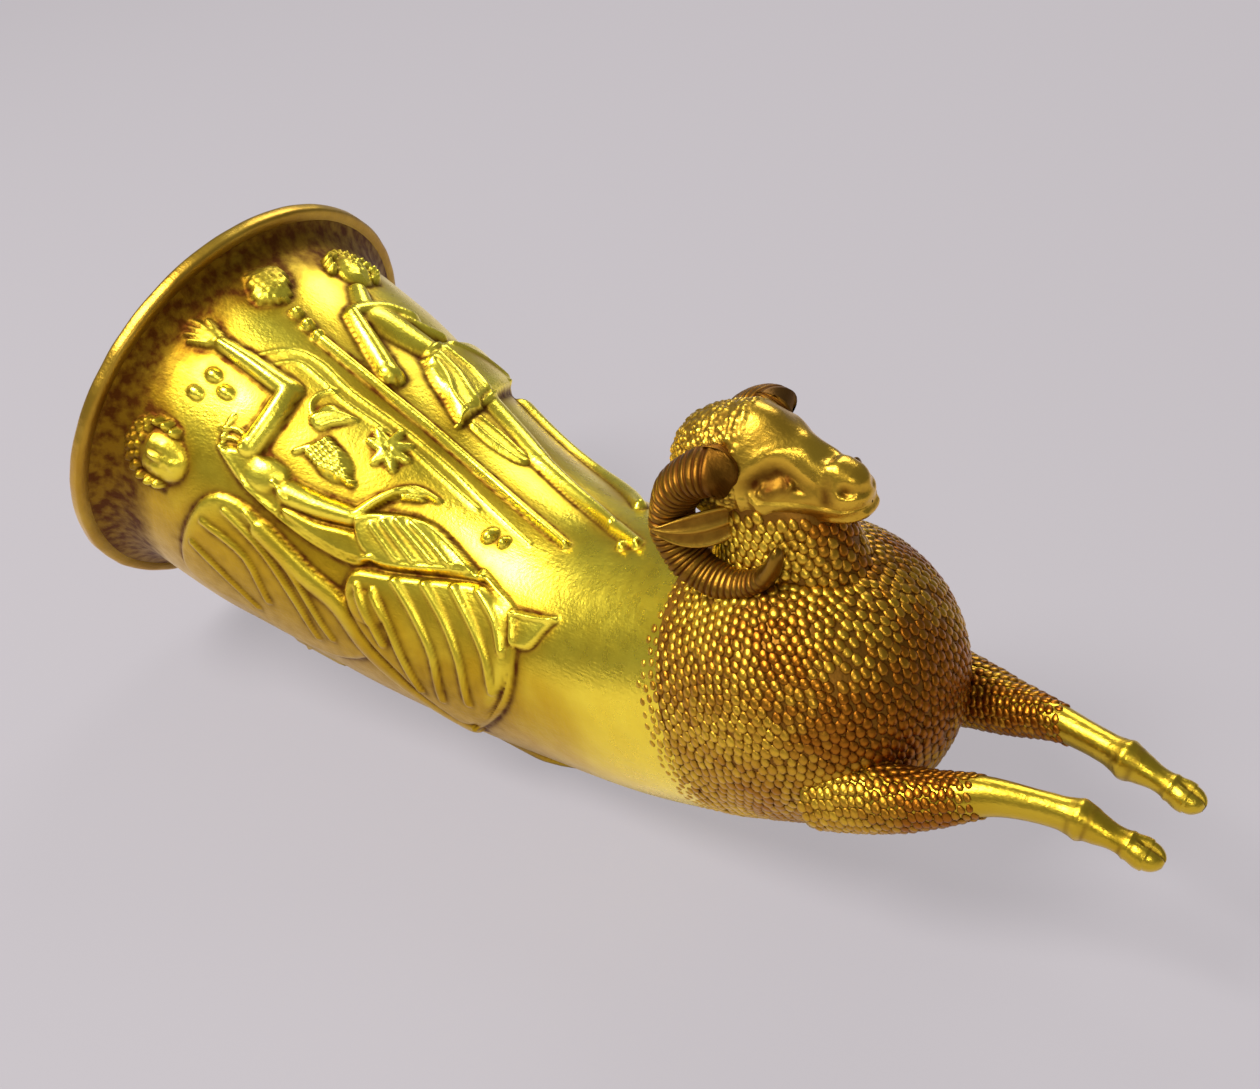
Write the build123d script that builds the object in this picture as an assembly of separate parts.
from build123d import *
from math import atan2, cos, degrees, radians, sin
import os

# A hammered gold drinking horn whose lower end is the forepart of a ram.
# The mouth frame has its origin at the centre of the mouth, +X down the horn, +Z to the side of the ram's
# head and +Y to the ram's left. The ram frame has its origin where the horn's centre line ends in the
# chest, +X the way the ram leaps and +Z up its neck. The finished cup lies on its belly at the point where it
# balances: +Z is up there, and the origin is the middle of the small flat that wear has left on the belly.

# Mouth and horn, in millimetres and degrees
rim_radius = 44.7
lip_width = 3.2
lip_depth = 2.6
lip_edge_cut = 0.8
flare_depth = 10.5
horn_mouth_radius = 37.6
horn_waist_radius = 25.9
wall = 1.25
straight_run = 58.0
bend_radius = 118.0
bend_angle = 42.0
horn_length = 151.5
seam_station = 140.0
seam_lap = 5.0
horn_steps = 2
belly_steps = 8
rest_wear = 0.5
overrun = 2.0
# How the horn narrows: share of its length, share of the taper from mouth to waist
horn_taper_shares = (
    (0.18, 0.90),
    (0.264, 0.73),
    (0.383, 0.48),
    (0.495, 0.25),
    (0.594, 0.09),
    (0.693, 0.0),
    (0.825, 0.01),
)
# How the mouth flares: share of the way from horn to lip along the axis, share of the step in radius
flare_shares = ((0.45, 0.16), (0.80, 0.55))

# Figures raised in the horn's sheet
figure_height = 2.0
figure_root = 0.6
figure_end_share = 0.5
hollow_end_share = 0.25
figure_turns = (0.0, 180.0)
# Outline across a raised form: share of its half width, share of its height
figure_shares = ((-1.0, 0.35), (-0.6, 0.88), (0.0, 1.0), (0.6, 0.88), (1.0, 0.35))
# The main forms. Each is a row of places: share of the horn's length, turn round the horn in degrees from its
# near side towards the ram's head, and half width as a share of the waist radius
staff_shares = ((0.10, 84, 0.05), (0.25, 82, 0.05), (0.40, 82, 0.05), (0.55, 78, 0.05), (0.68, 74, 0.05))
cone_shares = ((0.075, 87, 0.12), (0.095, 85, 0.17), (0.125, 84, 0.09))
youth_head_shares = ((0.08, 118, 0.15), (0.11, 115, 0.20), (0.15, 110, 0.13))
youth_body_shares = ((0.17, 103, 0.10), (0.20, 103, 0.22), (0.245, 106, 0.18), (0.28, 107, 0.15))
youth_arm_shares = ((0.185, 95, 0.08), (0.23, 93, 0.085), (0.285, 89, 0.09))
youth_tunic_shares = ((0.285, 107, 0.14), (0.33, 108, 0.22), (0.385, 103, 0.24))
youth_leg_shares = ((0.38, 110, 0.13), (0.46, 108, 0.12), (0.53, 105, 0.10), (0.62, 99, 0.07), (0.76, 86, 0.05))
youth_rear_leg_shares = ((0.38, 136, 0.10), (0.46, 135, 0.09), (0.55, 130, 0.08), (0.70, 112, 0.06))
dancer_head_shares = ((0.08, 23, 0.22), (0.11, 23, 0.26), (0.145, 24, 0.17))
dancer_forearm_shares = ((0.085, 61, 0.09), (0.12, 61, 0.07), (0.165, 62, 0.08), (0.21, 62, 0.10))
dancer_upper_arm_shares = ((0.217, 60, 0.09), (0.218, 51, 0.10), (0.217, 44, 0.10))
dancer_body_shares = ((0.20, 37, 0.12), (0.25, 37, 0.20), (0.30, 36, 0.16), (0.37, 35, 0.14), (0.44, 36, 0.12))
dancer_low_arm_shares = ((0.31, 39, 0.10), (0.35, 43, 0.09), (0.39, 50, 0.08), (0.42, 58, 0.06), (0.465, 63, 0.035))
hip_cloth_shares = ((0.42, 42, 0.12), (0.47, 45, 0.20), (0.53, 47, 0.16), (0.575, 48, 0.08))
skirt_shares = ((0.41, 24, 0.12), (0.46, 19, 0.38), (0.53, 14, 0.50), (0.60, 12, 0.54), (0.665, 26, 0.24))
cloak_shares = ((0.185, 0, 0.42), (0.25, 2, 0.52), (0.33, -1, 0.42), (0.40, 3, 0.14))
skirt_corner_shares = ((0.66, 35, 0.06), (0.70, 38, 0.12), (0.735, 42, 0.05))
grape_shares = ((0.285, 54, 0.12), (0.315, 53, 0.12), (0.35, 51, 0.05))
leaf_shares = ((0.333, 66, 0.07), (0.358, 67, 0.14), (0.384, 68, 0.07))

# Chest and neck
chest_radius = 26.0
chest_reach = 27.0
chest_wall = 1.0
dome_turns = (18, 36, 52, 66, 78, 86)
neck_height = 36.0
neck_length = 50.0
neck_width = 38.0
# Each level of the neck: share of its height, its middle and half length as shares of its length,
# and its half width as a share of its width
neck_shares = (
    (-0.11, 0.02, 0.44, 0.44),
    (0.10, 0.045, 0.45, 0.46),
    (0.32, 0.045, 0.385, 0.375),
    (0.56, 0.085, 0.31, 0.29),
    (0.78, 0.135, 0.25, 0.245),
    (1.00, 0.15, 0.18, 0.20),
)

# Head
skull_length = 26.0
skull_width = 17.6
skull_height = 21.6
skull_forward = 3.8
skull_rise = 38.9
skull_wall = 1.3
head_roll = 7.0
face_offset = 2.6
face_length = 21.4
face_depth = 20.8
face_width = 16.4
face_pitch = 25.5
# Each section of the face: share of its length, half depth and half width
face_shares = (
    (0.0, 0.50, 0.50),
    (0.335, 0.365, 0.43),
    (0.59, 0.272, 0.315),
    (0.80, 0.236, 0.285),
    (0.93, 0.205, 0.255),
    (1.0, 0.120, 0.150),
)
# Outline of a small ball: share of its half length, share of its width
bead_shares = ((-1.0, 0.24), (-0.7, 0.72), (0.0, 1.0), (0.7, 0.72), (1.0, 0.24))
bead_sides = 10
# Places on the face: share of its length, half width and rise as shares of width and depth
eye_radius = 1.9
eye_place_share = (0.33, 0.36, 0.13)
brow_length = 8.4
brow_height = 3.6
brow_place_share = (0.38, 0.31, 0.24)
nostril_radius = 2.3
nostril_width_share = 0.8
nostril_hole_radius = 0.8
nostril_hole_turn = 35.0
nostril_place_share = (0.90, 0.15, 0.03)
mouth_slit = 0.5
mouth_slit_depth = 1.1
mouth_length = 12.5
mouth_drop_share = 0.11
mouth_tongue_share = 0.50

# Horns of the ram
curl_radius = 9.1
curl_forward = 4.6
curl_rise = 34.4
curl_start = 56.0
curl_sweep = 283.0
curl_opening_share = 0.235
curl_opening_power = 3
curl_spread = 8.0
curl_flare = 5.5
curl_flare_turn = 130.0
curl_base_radius = 4.5
curl_tip_radius = 1.1
curl_taper_power = 2.4
curl_flat_share = 0.88
curl_sides = 12
rib_count = 21
rib_height = 0.34
rib_end_share = 0.92
# One rib of a horn: share of its pitch, share of its groove's depth
rib_shares = ((0.0, 1.0), (0.35, 0.0))

# Ears
ear_width = 5.6
ear_thickness = 1.3
ear_root = (5.4, 6.4, 33.2)
ear_tip_forward = -3.4
ear_tip_rise = 39.0
ear_gap = 0.6
ear_curl_share = 0.4
ear_sides = 8
# Each section of an ear: share of its length, of its width and of its thickness
ear_shares = ((0.0, 0.36, 1.0), (0.22, 0.80, 0.9), (0.48, 1.0, 0.75), (0.76, 0.62, 0.6), (1.0, 0.12, 0.4))

# Forelegs
leg_reach = 58.4
leg_spread = 15.5
leg_drop = 28.0
leg_root_radius = 7.4
hoof_split = 0.55
leg_steps = 2
leg_sides = 14
hoof_length_share = 0.95
# Each section of a leg: share of its reach, of its spread, of its drop and of its root radius
leg_shares = (
    (0.15, 1.05, 0.44, 1.00),
    (0.33, 0.97, 0.535, 0.77),
    (0.47, 0.84, 0.58, 0.60),
    (0.62, 0.69, 0.60, 0.42),
    (0.75, 0.58, 0.69, 0.345),
    (0.845, 0.51, 0.785, 0.405),
    (0.885, 0.50, 0.84, 0.35),
    (0.92, 0.49, 0.89, 0.28),
    (0.95, 0.48, 0.935, 0.285),
    (0.985, 0.47, 0.99, 0.335),
    (1.02, 0.46, 1.04, 0.30),
    (1.035, 0.455, 1.065, 0.18),
)

# Pouring spout
spout_radius = 3.0
spout_bore_radius = 1.5
spout_height = 2.2
spout_angle = 60.0


def eased(rows, steps):
    """Rows of numbers with smooth steps added between them."""
    dense = []
    for index in range(len(rows) - 1):
        before = rows[max(index - 1, 0)]
        after = rows[min(index + 2, len(rows) - 1)]
        for step in range(steps):
            t = step / steps
            row = []
            for a, b, c, d in zip(before, rows[index], rows[index + 1], after):
                row.append(b + t * ((c - a) + t * ((2 * a - 5 * b + 4 * c - d) + t * (3 * b - a - 3 * c + d))) / 2)
            dense.append(tuple(row))
    return dense + [rows[-1]]


def spine(station):
    """Point and heading of the horn's centre line, in the mouth frame."""
    if station <= straight_run:
        return Vector(station, 0, 0), 0.0
    turn = min((station - straight_run) / bend_radius, radians(bend_angle))
    after = station - straight_run - turn * bend_radius
    x = straight_run + bend_radius * sin(turn) + after * cos(turn)
    z = bend_radius * (1 - cos(turn)) + after * sin(turn)
    return Vector(x, 0, z), turn


def across(station):
    """Plane across the horn's centre line."""
    point, turn = spine(station)
    return Plane(origin=point, x_dir=(0, 1, 0), z_dir=(cos(turn), 0, sin(turn)))


def horn_stations():
    """Stations and outer radii of the horn, from the foot of the flare to the chest."""
    step = horn_mouth_radius - horn_waist_radius
    rows = [(flare_depth, horn_mouth_radius)]
    for share, taper in horn_taper_shares:
        rows.append((share * horn_length, horn_waist_radius + step * taper))
    rows.append((horn_length, chest_radius))
    return eased(rows, horn_steps)


ram_origin, ram_turn = spine(horn_length)
ram = Plane(origin=ram_origin, x_dir=(cos(ram_turn), 0, sin(ram_turn)), z_dir=(-sin(ram_turn), 0, cos(ram_turn)))
head_place = ram.location * Pos(skull_forward, 0, skull_rise) * Rot(head_roll, 0, 0)
face_place = Pos(face_offset, 0, 0) * Rot(0, face_pitch, 0)


def tube(inset, rows):
    """A length of the horn as a solid, its skin lying inset below the outer skin."""
    return loft([across(station) * Circle(radius - inset) for station, radius in rows])


def past(station):
    """A block that holds everything past a station of the centre line."""
    size = horn_length
    return across(station) * Pos(0, 0, size) * Box(2 * size, 2 * size, 2 * size)


def flare(inset, lead):
    """The flared mouth as a solid of revolution, its skin lying inset below the outer skin."""
    lip_inner = rim_radius - lip_depth - inset
    foot = horn_mouth_radius - inset
    run = flare_depth - lip_width
    curve = [(flare_depth, foot)]
    for along, out in flare_shares:
        curve.append((flare_depth - run * along, foot + (lip_inner - foot) * out))
    curve.append((lip_width, lip_inner))
    rest = Polyline((lip_width, lip_inner), (-lead, lip_inner), (-lead, 0), (flare_depth, 0), (flare_depth, foot))
    return revolve(make_face([Spline(*curve), rest]), Axis.X)


def skin_radius(station):
    """Outer radius of the horn at a station past its flare."""
    rows = horn_stations()
    for (start, first), (end, last) in zip(rows, rows[1:]):
        if station <= end:
            return first + (last - first) * (station - start) / (end - start)
    return rows[-1][1]


def skin_place(along, around):
    """Point on the horn's skin, the way out of it there, and the way round it."""
    point, turn = spine(along * horn_length)
    lift = Vector(-sin(turn), 0, cos(turn))
    side = Vector(0, -1, 0)
    out = side * cos(radians(around)) + lift * sin(radians(around))
    return point + out * skin_radius(along * horn_length), out, lift * cos(radians(around)) - side * sin(radians(around))


def raised_form(shares, turn, inset, end_share):
    """One raised form of a figure, as a solid rooted in the horn's wall, its skin lying inset below the outer skin."""
    places = [skin_place(along, around + turn) for along, around, half_width in shares]
    sections = []
    for index, (along, around, half_width) in enumerate(shares):
        before = places[max(index - 1, 0)][0]
        after = places[min(index + 1, len(places) - 1)][0]
        point, out, round_way = places[index]
        heading = (after - before).normalized()
        aside = out.cross(heading).normalized()
        radius = skin_radius(along * horn_length)
        half = half_width * horn_waist_radius - inset
        height = figure_height * (end_share if index in (0, len(shares) - 1) else 1)
        outline = []
        for across_share, rise_share in figure_shares:
            round_reach = across_share * half * aside.dot(round_way)
            sag = radius - (radius**2 - round_reach**2) ** 0.5
            outline.append((across_share * half, rise_share * height - inset - sag))
        outline.append((half, -figure_root - inset - sag))
        outline.append((-half, -figure_root - inset - sag))
        plane = Plane(origin=point, x_dir=aside, z_dir=heading)
        upright = 1 if plane.y_dir.dot(out) > 0 else -1
        sections.append(plane * make_face(Polyline(*[(x, upright * y) for x, y in outline], close=True)))
    return loft(sections, ruled=True)


def raised_figures():
    """The main forms of the two pairs of figures, one pair on each side of the horn."""
    forms = (staff_shares, cone_shares, youth_head_shares, youth_body_shares, youth_arm_shares, youth_tunic_shares)
    forms += (youth_leg_shares, youth_rear_leg_shares, dancer_head_shares, dancer_forearm_shares)
    forms += (dancer_upper_arm_shares, dancer_body_shares, dancer_low_arm_shares, hip_cloth_shares, skirt_shares)
    forms += (cloak_shares, skirt_corner_shares, grape_shares, leaf_shares)
    return [raised_form(shares, turn, 0, figure_end_share) for turn in figure_turns for shares in forms]


def figure_hollows():
    """The hollows that the two widest forms leave on the inside of the sheet."""
    forms = (skirt_shares, cloak_shares)
    return [raised_form(shares, turn, wall, hollow_end_share) for turn in figure_turns for shares in forms]


def make_cup_horn():
    """The horn of sheet gold: flared mouth, tapering bend, and a thin end that goes into the chest."""
    rows = horn_stations()
    outer = tube(0, rows) + flare(0, 0) + raised_figures()
    inner = tube(wall, rows) + flare(wall, overrun) + figure_hollows()
    sleeve_skin = tube(chest_wall, rows)
    lap = past(seam_station) - past(seam_station + seam_lap)
    main = outer - inner - past(seam_station)
    tongue = (sleeve_skin - inner) & lap
    return main + tongue


def make_lip_ring():
    """The thick band soldered round the edge of the mouth."""
    band = Rectangle(lip_width, lip_depth)
    band = chamfer(band.vertices().sort_by(Axis.Y)[-2:], lip_edge_cut)
    band = Pos(lip_width / 2, rim_radius - lip_depth / 2) * band
    return revolve(band, Axis.X)


def ellipsoid(length, width, height):
    """A ball stretched to its full length, width and height."""
    return scale(Sphere(0.5), by=(length, width, height))


def chest_form(inset):
    """The ram's chest and neck as a solid, its skin lying inset below the outer skin."""
    rows = [row for row in horn_stations() if row[0] > seam_station - horn_waist_radius]
    for turn in dome_turns:
        reach = (chest_reach - inset) * sin(radians(turn))
        rows.append((horn_length + reach, (chest_radius - inset) * cos(radians(turn)) + inset))
    barrel = tube(inset, rows) & past(seam_station)
    levels = []
    for level, middle, half_length, half_width in neck_shares:
        place = Pos(middle * neck_length, 0, level * (neck_height - inset))
        levels.append(place * Ellipse(half_length * neck_length - inset, half_width * neck_width - inset))
    return barrel + (ram.location * loft(levels) & past(seam_station))


spout_place = ram.location * Rot(0, spout_angle, 0)


def spout_rod(radius, start, end):
    """A rod along the spout's axis, from one distance from the chest's middle to another."""
    upright = Plane(origin=(start, 0, 0), x_dir=(0, 1, 0), z_dir=(1, 0, 0))
    return spout_place * extrude(upright * Circle(radius), end - start)


def make_protome_chest(outer):
    """The hollow chest and neck, with the socket for the horn's end and the hole for the wine."""
    inner = chest_form(chest_wall)
    floor = tube(chest_wall, horn_stations()) & (past(seam_station - overrun) - past(seam_station + seam_lap))
    hole = spout_rod(spout_bore_radius, chest_radius / 2, chest_reach + spout_height)
    return outer - inner - floor - hole


def make_pour_spout(outer):
    """The short collar that the wine runs out of, between the forelegs."""
    end = chest_radius + spout_height
    collar = spout_rod(spout_radius, chest_radius / 2, end)
    bore = spout_rod(spout_bore_radius, 0, end + overrun)
    return collar - bore - outer


def face_point(shares, side=1):
    """A place on the face from shares of its length, width and depth."""
    along, out, rise = shares
    return face_place * Pos(along * face_length, side * out * face_width, rise * face_depth)


def bead(length, width, height):
    """A small ball with flat sides, stretched to its full length, width and height."""
    sections = []
    for along, around in bead_shares:
        plane = Plane(origin=(along * length / 2, 0, 0), x_dir=(0, 1, 0), z_dir=(1, 0, 0))
        sections.append(plane * ring(around * width, around * height, bead_sides))
    return loft(sections, ruled=True)


def make_head_form():
    """Skull and face in the head's frame, whose origin is the middle of the skull."""
    sections = []
    for along, half_depth, half_width in face_shares:
        plane = Plane(origin=(along * face_length, 0, 0), x_dir=(0, 0, 1), z_dir=(1, 0, 0))
        sections.append(plane * Ellipse(half_depth * face_depth, half_width * face_width))
    head = ellipsoid(skull_length, skull_width, skull_height) + face_place * loft(sections)
    for side in (-1, 1):
        head += face_point(eye_place_share, side) * bead(2 * eye_radius, 2 * eye_radius, 2 * eye_radius)
        head += face_point(brow_place_share, side) * bead(brow_length, brow_height, brow_height)
        nostril = face_point(nostril_place_share, side) * Rot(0, nostril_hole_turn, side * nostril_hole_turn)
        width = 2 * nostril_radius
        hole = 2 * nostril_hole_radius
        head += nostril * bead(width, nostril_width_share * width, width)
        head -= nostril * Pos(nostril_radius, 0, 0) * bead(hole, hole, hole)
    mouth = face_place * Pos(face_length, 0, -mouth_drop_share * face_depth)
    slit = Box(2 * mouth_length, face_width, mouth_slit)
    tongue_length = 2 * (mouth_length - mouth_slit_depth)
    tongue = Pos(-2 * mouth_slit_depth, 0, 0) * Box(2 * mouth_length, mouth_tongue_share * face_width, mouth_slit)
    return head - mouth * (slit - tongue)


def make_head(form, chest):
    """The hollow head, seated on the neck."""
    inset = 2 * skull_wall
    hollow = bead(skull_length - inset, skull_width - inset, skull_height - inset)
    return head_place * (form - hollow) - chest


def ring(thickness, width, sides):
    """A flattened ring with flat sides, as a section of a horn or an ear."""
    turns = [radians(360 * corner / sides) for corner in range(sides)]
    points = [(thickness / 2 * cos(turn), width / 2 * sin(turn)) for turn in turns]
    return make_face(Polyline(*points, close=True))


def curl_point(along, side):
    """Middle of a horn at a share of its length, in the head's frame."""
    turn = radians(curl_start + curl_sweep * along)
    radius = curl_radius * (1 + curl_opening_share * along**curl_opening_power)
    x = curl_forward - skull_forward + radius * cos(turn)
    z = curl_rise - skull_rise + radius * sin(turn)
    return Vector(x, side * (curl_spread + curl_flare * sin(radians(curl_flare_turn) * along)), z)


def make_curl(side, form, chest):
    """One ridged horn: rings joined by straight walls, ending in a smooth tip."""
    stops = []
    for rib in range(rib_count):
        for phase, depth in rib_shares:
            stops.append(((rib + phase) / rib_count * rib_end_share, depth))
    stops += [(rib_end_share, 0.0), ((1 + rib_end_share) / 2, 0.0), (1.0, 0.0)]
    sections = []
    for along, depth in stops:
        taper = along**curl_taper_power
        radius = curl_base_radius + (curl_tip_radius - curl_base_radius) * taper - depth * rib_height
        heading = curl_point(along + 1 / rib_count, side) - curl_point(along - 1 / rib_count, side)
        plane = Plane(origin=curl_point(along, side), x_dir=(0, 1, 0), z_dir=heading)
        sections.append(plane * ring(2 * radius * curl_flat_share, 2 * radius, curl_sides))
    return head_place * (loft(sections, ruled=True) - form) - chest


def make_ear(side, form, chest, curl):
    """One leaf-shaped ear that springs inside the curl of a horn and lies across it."""
    root = Vector(ear_root[0] - skull_forward, side * ear_root[1], ear_root[2] - skull_rise)
    clear = abs(curl_point(ear_curl_share, side).Y) + curl_base_radius + ear_gap
    tip = Vector(ear_tip_forward - skull_forward, side * clear, ear_tip_rise - skull_rise)
    reach = tip - root
    flat = reach.cross(Vector(0, 0, 1))
    sections = []
    for along, width, thickness in ear_shares:
        plane = Plane(origin=root + reach * along, x_dir=flat, z_dir=reach)
        sections.append(plane * ring(thickness * ear_thickness, width * ear_width, ear_sides))
    return head_place * (loft(sections, ruled=True) - form) - chest - curl


def leg_point(row, side):
    """Middle of a section of a foreleg, in the ram frame."""
    return Vector(row[0] * leg_reach, side * row[1] * leg_spread, -row[2] * leg_drop)


def make_foreleg(side, chest):
    """One foreleg from the shoulder to the cloven hoof."""
    rows = eased(leg_shares, leg_steps)
    points = [leg_point(row, side) for row in rows]
    sections = []
    for index, row in enumerate(rows):
        before = points[max(index - 1, 0)]
        after = points[min(index + 1, len(points) - 1)]
        plane = Plane(origin=points[index], x_dir=(0, 1, 0), z_dir=after - before)
        width = 2 * row[3] * leg_root_radius
        sections.append(plane * ring(width, width, leg_sides))
    leg = loft(sections, ruled=True)
    cut = Plane(origin=points[-1], x_dir=(0, 1, 0), z_dir=points[-1] - points[-2])
    cleft_depth = (1 - hoof_length_share) * leg_reach
    leg -= cut * Box(hoof_split, leg_root_radius, 2 * cleft_depth)
    return ram.location * leg - chest


def belly_points():
    """Points along the lowest line of the horn, in the mouth frame."""
    points = []
    for station, radius in eased(horn_stations(), belly_steps):
        point, turn = spine(station)
        points.append(point - Vector(-sin(turn), 0, cos(turn)) * radius)
    return points


def middle_of_mass(solids):
    """Common centre of mass of pieces of one material."""
    total = sum(solid.volume for solid in solids)
    middle = Vector(0, 0, 0)
    for solid in solids:
        middle += solid.center(CenterOf.MASS) * (solid.volume / total)
    return middle


chest = chest_form(0)
head_form = make_head_form()
right_curl = make_curl(-1, head_form, chest)
left_curl = make_curl(1, head_form, chest)
pieces = {
    "cup_horn": make_cup_horn(),
    "lip_ring": make_lip_ring(),
    "protome_chest": make_protome_chest(chest),
    "pour_spout": make_pour_spout(chest),
    "head": make_head(head_form, chest),
    "right_horn": right_curl,
    "left_horn": left_curl,
    "right_ear": make_ear(-1, head_form, chest, right_curl),
    "left_ear": make_ear(1, head_form, chest, left_curl),
    "right_foreleg": make_foreleg(-1, chest),
    "left_foreleg": make_foreleg(1, chest),
}

# Lay the cup on the point of its belly that is nearest to its centre of mass, and take off what wear has taken
middle = middle_of_mass(pieces.values())
contact = min(belly_points(), key=lambda point: (point - middle).length)
lean = degrees(atan2(contact.X - middle.X, middle.Z - contact.Z))
to_table = Pos(0, 0, -rest_wear) * Rot(0, lean, 0) * Pos(-contact.X, 0, -contact.Z)
table = Pos(0, 0, -horn_length) * Box(4 * horn_length, 4 * horn_length, 2 * horn_length)

os.makedirs("parts", exist_ok=True)
for name, piece in pieces.items():
    laid = to_table * piece - table
    export_step(laid, os.path.join("parts", name + ".step"))
    print(name, "solids", len(laid.solids()), "volume", round(laid.volume), "middle", laid.center(CenterOf.MASS))
print("lean", round(lean, 2), "contact", contact, "middle", middle)
